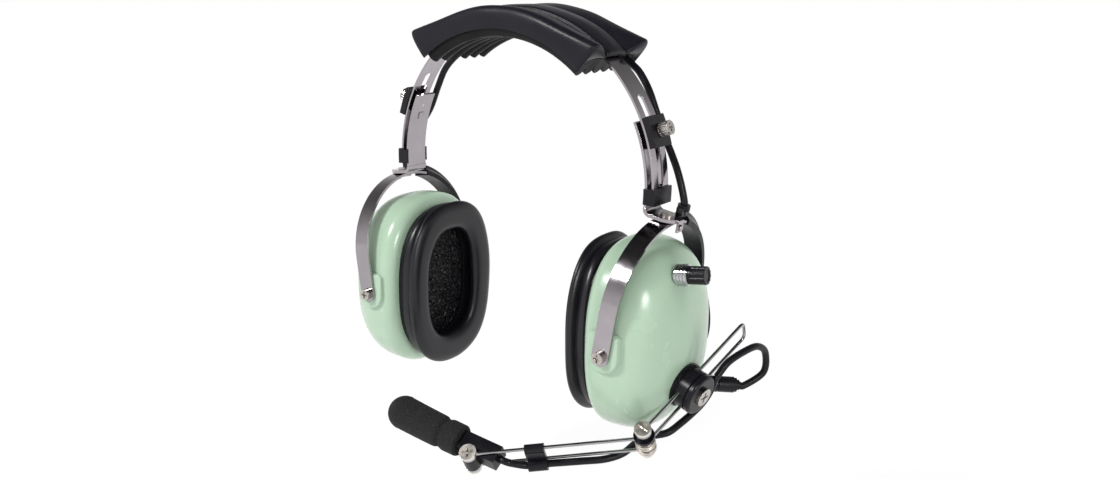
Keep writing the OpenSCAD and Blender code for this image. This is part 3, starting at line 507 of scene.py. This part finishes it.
shell_paint = finish_of("cup_shell_paint", (0.37, 0.505, 0.375), 0.25, depth=0.006, grain_scale=1500.0,
                        patch_scale=25.0, patchy=0.03, tint=0.02)
shell_paint.node_tree.nodes["Principled BSDF"].inputs["Coat Weight"].default_value = 0.35
shell_paint.node_tree.nodes["Principled BSDF"].inputs["Coat Roughness"].default_value = 0.17

# each step of a pad: how far forward or back it is, and its size as a share of the outline
outline = pad_outline()
pad_steps = [(pad_foot_y, 1.0), (pad_face_y - 0.9, 1.0), (pad_face_y - 0.45, 0.985),
             (pad_face_y - 0.12, 0.955), (pad_face_y, 0.91)]
outer = np.vstack([bowl_rows(dome_half, dome_depth), neck_rows(dome_half, belly_x - rim_x)])
inner = np.vstack([bowl_rows(dome_half - dome_wall, dome_depth - dome_wall),
                   neck_rows(dome_half - dome_wall, belly_x - rim_x)])
shell_rows = oval_rows(np.vstack([outer, inner[::-1]]))
for side in ("right", "left"):
    shell = grid_object("cup_shell_" + side, mirrored(shell_rows, side))
    shell.data.materials.append(shell_paint)
    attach(shell, "cup_" + side)
    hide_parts("dome_" + side)
    for face in (-1, 1):
        rows = np.array([np.column_stack([pivot_x + size * outline[:, 0], np.full(len(outline), face * y),
                                          size * outline[:, 1]]) for y, size in pad_steps])
        pad = grid_object("pivot_pad_%s_%s" % (side, "rear" if face > 0 else "front"), mirrored(rows, side),
                          sharp=60.0)
        pad.data.materials.append(shell_paint)
        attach(pad, "cup_" + side)


# Ear seals: foam rings in smooth black vinyl, snapped over the edge of the black plate by a flange.
# A groove parts the flange from the cushion, and black open foam lines the ear opening.
plate_thick = 2.4
plate_x = rim_x - plate_thick
seal_half, mouth_half = np.array([35.2, 48.5]), np.array([20.0, 32.0])
# round the cushion: the distance from the plate, 0 on the outer oval or 1 on the mouth, and the growth
seal_profile = [(0.0, 0, -3.2), (-0.5, 0, -2.5), (-2.3, 0, -2.3), (-4.0, 0, -2.6), (-4.9, 0, -3.2),
                (-5.4, 0, -3.8), (-6.0, 0, -2.9), (-6.9, 0, -1.2), (-8.2, 0, -0.2), (-9.4, 0, -0.2),
                (-10.5, 0, -1.0), (-11.5, 0, -2.7), (-12.1, 0, -5.2), (-12.1, 1, 5.2), (-11.3, 1, 2.6),
                (-9.6, 1, 0.7), (-7.2, 1, 0.4), (-4.6, 1, 1.8), (0.0, 1, 3.0)]
dents = [(0.9, 0.16, 0.05), (0.4, -0.09, 0.17), (0.2, 0.21, 0.1)]
dent_depth = 0.35
vinyl = finish_of("seal_vinyl", (0.0065, 0.006, 0.0090), 0.33, depth=0.03, grain_scale=900.0,
                  patch_scale=40.0, patchy=0.05, shine=0.42)
black_moulding = finish_of("black_moulding", (0.0070, 0.0063, 0.0090), 0.28, depth=0.015, edge=0.25,
                           shine=0.22)


def seal_rows(steps=6):
    """The closed profile, smoothed, as x and half sizes that pass from the outer oval to the mouth."""
    from_plate, inward, growth = np.array(seal_profile).T[:, :, None]
    halves = (1 - inward) * seal_half + inward * mouth_half + growth
    return smooth_route(np.hstack([plate_x + from_plate, halves]), steps)


def uneven(grid, amount, waves):
    """The grid with each point moved a little from the middle of the piece by a few long sine waves.

    A wave is given by its angle per millimetre along x, y and z.
    """
    middle = grid.mean(axis=(0, 1))
    away = grid - middle
    away /= np.linalg.norm(away, axis=-1, keepdims=True)
    bend = sum(np.sin(grid @ np.array(wave) + phase) for phase, wave in enumerate(waves)) / len(waves)
    return grid + amount * bend[..., None] * away


soft_seal = uneven(oval_rows(seal_rows()), dent_depth, dents)
plate_rows = oval_rows([(rim_x, 32.2, 43.2), (rim_x - 0.3, 32.8, 43.8), (plate_x + 0.3, 32.8, 43.8),
                        (plate_x, 32.4, 43.4), (plate_x, 22.0, 34.0), (rim_x, 22.0, 34.0)])
for side in ("right", "left"):
    seal = grid_object("ear_seal_piece_" + side, mirrored(soft_seal, side), loop=True)
    seal.data.materials.append(vinyl)
    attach(seal, "cup_" + side)
    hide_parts("ear_seal_" + side)
    plate = grid_object("plate_piece_" + side, mirrored(plate_rows, side), loop=True, sharp=30.0)
    plate.data.materials.append(black_moulding)
    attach(plate, "cup_" + side)
    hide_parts("baffle_plate_" + side)

# open cells: pits between raised strands, from the distance to the nearest cell's edge
cells, given, result = effect("open_cells", {"Scale": 900.0}, ["Height"])
wall = node(cells, "TexVoronoi", {"Vector": given["Place"], "Scale": given["Scale"]},
            feature="DISTANCE_TO_EDGE")
strands = node(cells, "MapRange", {"Value": wall.outputs["Distance"], "From Max": 0.25, "To Min": 1.0,
                                   "To Max": 0.0})
cells.links.new(strands.outputs[0], result["Height"])
lining = finish_of("ear_foam", rubber_black, 0.5, grain=cells, grain_scale=420.0, depth=1.4,
                   patch_scale=420.0, patchy=0.25, tint=0.6)
foam_half, foam_bulge = np.array([21.2, 33.2]), 0.4
foam_edge = [(rim_x + 4.0, 26.0, 38.0), (rim_x + 0.1, 26.0, 38.0), (rim_x + 0.05, 21.8, 33.8),
             (rim_x - 0.9, *foam_half)]
foam_face = [(rim_x - 1.0 - foam_bulge * np.sin(3 * inward), *(foam_half * (1 - inward)))
             for inward in np.linspace(0.05, 0.97, 12)]
foam_rows = oval_rows(foam_edge + foam_face)
for side in ("right", "left"):
    foam = grid_object("foam_filter_piece_" + side, mirrored(foam_rows, side))
    foam.data.materials.append(lining)
    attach(foam, "cup_" + side)
    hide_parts("foam_filter_" + side)


# Spring steel: the head band, the height slides and the yokes are blanked strip, polished bright.
# Their faces carry fine lines along the strip, and the cut edges are slightly rounded.
# Plated screws and rivets hold them, and black moulded guides, blocks and rings sit on them.
brushed, given, result = effect("drawn_lines", {"Scale": 900.0}, ["Height"])
stretched = node(brushed, "Mapping", {"Vector": given["Place"], "Scale": (0.06, 1.0, 0.06)})
lines = node(brushed, "TexNoise", {"Vector": stretched.outputs[0], "Scale": given["Scale"], "Detail": 4.0})
brushed.links.new(lines.outputs[0], result["Height"])


def dress(nodes, material):
    """Gives CAD nodes a material in place of the one they came with."""
    for name in nodes:
        mesh = frame["nodes"][name].data
        mesh.materials.clear()
        mesh.materials.append(material)


def both(*names):
    """The same names on the left and on the right."""
    return [name + "_" + side for name in names for side in ("left", "right")]


strip_steel = finish_of("strip_steel", (0.40, 0.37, 0.39), 0.15, metallic=1.0, grain=brushed,
                        grain_scale=2600.0, depth=0.004, patch_scale=30.0, patchy=0.05, tint=0.1, edge=0.2)
bright_screw = finish_of("bright_plating", (0.50, 0.47, 0.44), 0.25, metallic=1.0, depth=0.01,
                         patch_scale=200.0, patchy=0.06, edge=0.15)
dress(["headband_spring"] + both("slide_strip", "yoke"), strip_steel)
dress(both("thumbscrew", "crown_rivet", "pivot_screws"), bright_screw)
dress(both("end_guide", "slide_block", "lead_tie", "earphone"), black_moulding)
dress(both("arm_sleeve"), jacket)


# Head pad: a black vinyl cover over the band, with a raised strip along the middle and two wings.
# The wings flare up at their ends; moulded foam ribs run lengthwise beneath.
band_outside = 85.6
cover_end_angle, cover_round_angle, flare_angle, foam_end_angle = 40.0, 1.6, 20.0, 38.6
flare_height = 6.0
foam_top_radius, rib_line_radius = 84.2, 78.0
pad_foam_half = 24.2
rib_count = 6
rib_half_width, rib_depth = 3.584, 4.16
folds = [(0.16, 0.1, 0.0), (-0.09, 0.2, 0.1), (0.25, 0.05, 0.1)]
fold_depth = 0.3


def carried(angle, section):
    """A section of y and radius, set at an angle from the crown in degrees, as points of the band's arc."""
    turn, radius = np.radians(angle), section[:, 1]
    return np.column_stack([radius * np.sin(turn), section[:, 0], band_centre_z + radius * np.cos(turn)])


def cover_section(flare):
    """Matching points over and under the cover, as y and height above the band's outer face.

    The wings lie outside the two grooves at 9 mm and rise with the flare, most of all near their edge.
    """
    over = [(-26.3, -7.4), (-26.8, -4.5), (-26.9, -1.0 + 0.6 * flare), (-26.3, 2.0 + flare),
            (-24.6, 3.8 + flare), (-21.6, 4.2 + flare), (-17.0, 3.8 + 0.8 * flare),
            (-12.5, 2.9 + 0.35 * flare), (-9.8, 2.1), (-8.9, 2.1), (-8.1, 3.7), (-4.0, 4.3), (0.0, 4.5)]
    under = [(-24.6, -7.4), (-24.3, -5.6), (-23.9, -4.0), (-23.2, -2.8), (-22.0, -1.9), (-20.2, -1.2),
             (-16.6, -0.5), (-12.5, 0.0), (-9.8, 0.2), (-8.9, 0.3), (-8.1, 0.3), (-4.0, 0.3), (0.0, 0.3)]
    over, under = np.array(over), np.array(under)
    return np.vstack([over, (over * [-1, 1])[::-1][1:]]), np.vstack([under, (under * [-1, 1])[::-1][1:]])


def cover_grid(count=121, rounds=10):
    """Sections carried along the band's arc, drawn to their middle line in a quarter circle at each end.

    The flare grows with the square of the way from where it starts to the end of the cover.
    """
    soft = np.linspace(0, 1.45, rounds)
    tip = cover_end_angle - cover_round_angle * (1 - np.sin(soft))
    middle = np.linspace(-tip[0], tip[0], count)[1:-1]
    angles = np.concatenate([-tip[::-1], middle, tip])
    fullness = np.concatenate([np.cos(soft)[::-1], np.ones(len(middle)), np.cos(soft)])
    rows = []
    for angle, full in zip(angles, fullness):
        past = max(abs(angle) - flare_angle, 0.0) / (cover_end_angle - flare_angle)
        over, under = cover_section(flare_height * past ** 2)
        half_way = (over + under) / 2
        over, under = half_way + full * (over - half_way), half_way + full * (under - half_way)
        outline = np.vstack([over, under[::-1]])
        section = smooth_route(np.vstack([outline, outline[:1]]), 4)[:-1]
        rows.append(carried(angle, section + [0.0, band_outside]))
    return np.array(rows)


def foam_section():
    """The outline of the ribbed foam: flat above, and a row of half ellipses below."""
    pitch = 2 * pad_foam_half / rib_count
    turn = np.linspace(np.pi, 2 * np.pi, 17)
    ribs = [np.column_stack([-pad_foam_half + pitch * (k + 0.5) + rib_half_width * np.cos(turn),
                             rib_line_radius + rib_depth * np.sin(turn)]) for k in range(rib_count)]
    top = np.array([[pad_foam_half, foam_top_radius], [-pad_foam_half, foam_top_radius]])
    return np.vstack(ribs + [top])


def foam_grid(count=81):
    """The foam's outline carried along the arc."""
    outline = foam_section()
    return np.array([carried(angle, outline)
                     for angle in np.linspace(-foam_end_angle, foam_end_angle, count)])


# leather grain: small pebbles parted by creases, from the distance to the nearest cell
pebbles, given, result = effect("pebble_grain", {"Scale": 700.0}, ["Height"])
pebble = node(pebbles, "TexVoronoi", {"Vector": given["Place"], "Scale": given["Scale"]},
              feature="SMOOTH_F1")
pebbles.links.new(pebble.outputs["Distance"], result["Height"])
cover_vinyl = finish_of("pad_vinyl", (0.0075, 0.0066, 0.0105), 0.40, grain=pebbles, grain_scale=800.0,
                        depth=0.05, patch_scale=30.0, patchy=0.06, shine=0.22)
rib_foam = finish_of("rib_foam", (0.005, 0.005, 0.006), 0.55, depth=0.06, grain_scale=1400.0, shine=0.2)
cover = grid_object("pad_cover_piece", uneven(cover_grid(), fold_depth, folds), sharp=50.0)
cover.data.materials.append(cover_vinyl)
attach(cover, "head_band")
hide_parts("head_pad_cover")
ribs = grid_object("pad_ribs_piece", foam_grid(), sharp=60.0)
ribs.data.materials.append(rib_foam)
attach(ribs, "head_band")
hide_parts("head_pad")


# Volume control: a turned and ribbed metal neck, screwed into the shell of the right cup, mirrors it.
# A black plastic knob, fluted for the fingers, is pushed on the shaft that turns in the neck.
neck_metal = finish_of("neck_metal", (0.55, 0.56, 0.56), 0.12, metallic=1.0, depth=0.01, patchy=0.04,
                       edge=0.15)
knob_plastic = finish_of("knob_plastic", rubber_black, 0.3, depth=0.02, edge=0.3, shine=0.25)
dress(["volume_control"], neck_metal)
dress(["volume_knob"], knob_plastic)


# Boom guide and socket: turned black plastic discs, clamped to the shell by one cross-head bolt.
# The microphone's lead plugs into a black jack beside them, through a plug moulded in soft rubber.
dress(["guide_base", "boom_guide", "mic_jack"], black_moulding)
dress(["guide_bolt"], bright_screw)
plug_rubber = finish_of("plug_rubber", rubber_black, 0.4, depth=0.03, edge=0.4, shine=0.25)
dress(["mic_plug"], plug_rubber)


# Boom: stainless wire 1.8 mm thick, bent to a hairpin behind the wrist and left as two rods before it.
# Nickel-plated screws pass through flattened eyes at both joints, with ribbed sleeves between the eyes.
# A black clip on the upper rod holds the lead, and the microphone's body turns on the front screw.
wire_steel = finish_of("wire_steel", (0.42, 0.41, 0.42), 0.16, metallic=1.0, depth=0.008, patchy=0.05,
                       patch_scale=120.0, edge=0.12)
dress(["rear_boom", "front_boom"], wire_steel)
joint_nickel = finish_of("joint_nickel", (0.80, 0.75, 0.69), 0.36, metallic=1.0, depth=0.01,
                         patch_scale=200.0, patchy=0.06, edge=0.15)
dress(["wrist_screw", "wrist_spring", "mic_joint_screw"], joint_nickel)
dress(["wrist_washer", "lead_clip", "mic_body"], black_moulding)


# Windscreen: a sock of charcoal open-cell foam, pulled over the microphone's capsule.
# A foam band lies in a shallow groove near its open end, where it grips the microphone's neck.
foam_radius, foam_length = 9.1, 46.0
foam_start, foam_side, foam_low = 10.0, -6.8, -6.0
foam_droop = 4.5
neck_share = 0.93
groove_at, groove_depth, groove_width = 11.5, 1.5, 1.5
hem_length, hem_inset = 1.5, 1.2
tip_radius = 0.2
windscreen_foam = finish_of("windscreen_foam", (0.012, 0.012, 0.013), 0.92, grain=cells,
                            grain_scale=1000.0, depth=0.5, patch_scale=1500.0, patchy=0.05, tint=0.7)


def windscreen_grid(count=90):
    """A round body that swells past its groove, with a rounded hem and a tip that is a half ball.

    Its middle line droops with the square of the way to the tip.
    """
    reach = foam_length * np.linspace(0, 1, count)
    radius = foam_radius * (neck_share + (1 - neck_share) * reach / foam_length)
    radius -= groove_depth * np.exp(-((reach - groove_at) / groove_width) ** 2)
    left = foam_length - reach
    ball = np.sqrt(np.maximum(foam_radius ** 2 - (foam_radius - left) ** 2, tip_radius ** 2))
    radius = np.where(left < foam_radius, ball, radius)
    hem = hem_inset * (1 - reach / hem_length) ** 2
    radius = np.where(reach < hem_length, radius - hem, radius)
    height = foam_low + foam_droop * (reach / foam_length) ** 2
    line = np.array([on_mic(foam_start + along, foam_side, up) for along, up in zip(reach, height)])
    return tube_grid(line, radius, boom_up, sides=72)


windscreen = grid_object("windscreen_piece", windscreen_grid(), sharp=70.0)
windscreen.data.materials.append(windscreen_foam)
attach(windscreen, "microphone")
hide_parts("mic_windscreen")
dress(["windscreen_band"], windscreen_foam)
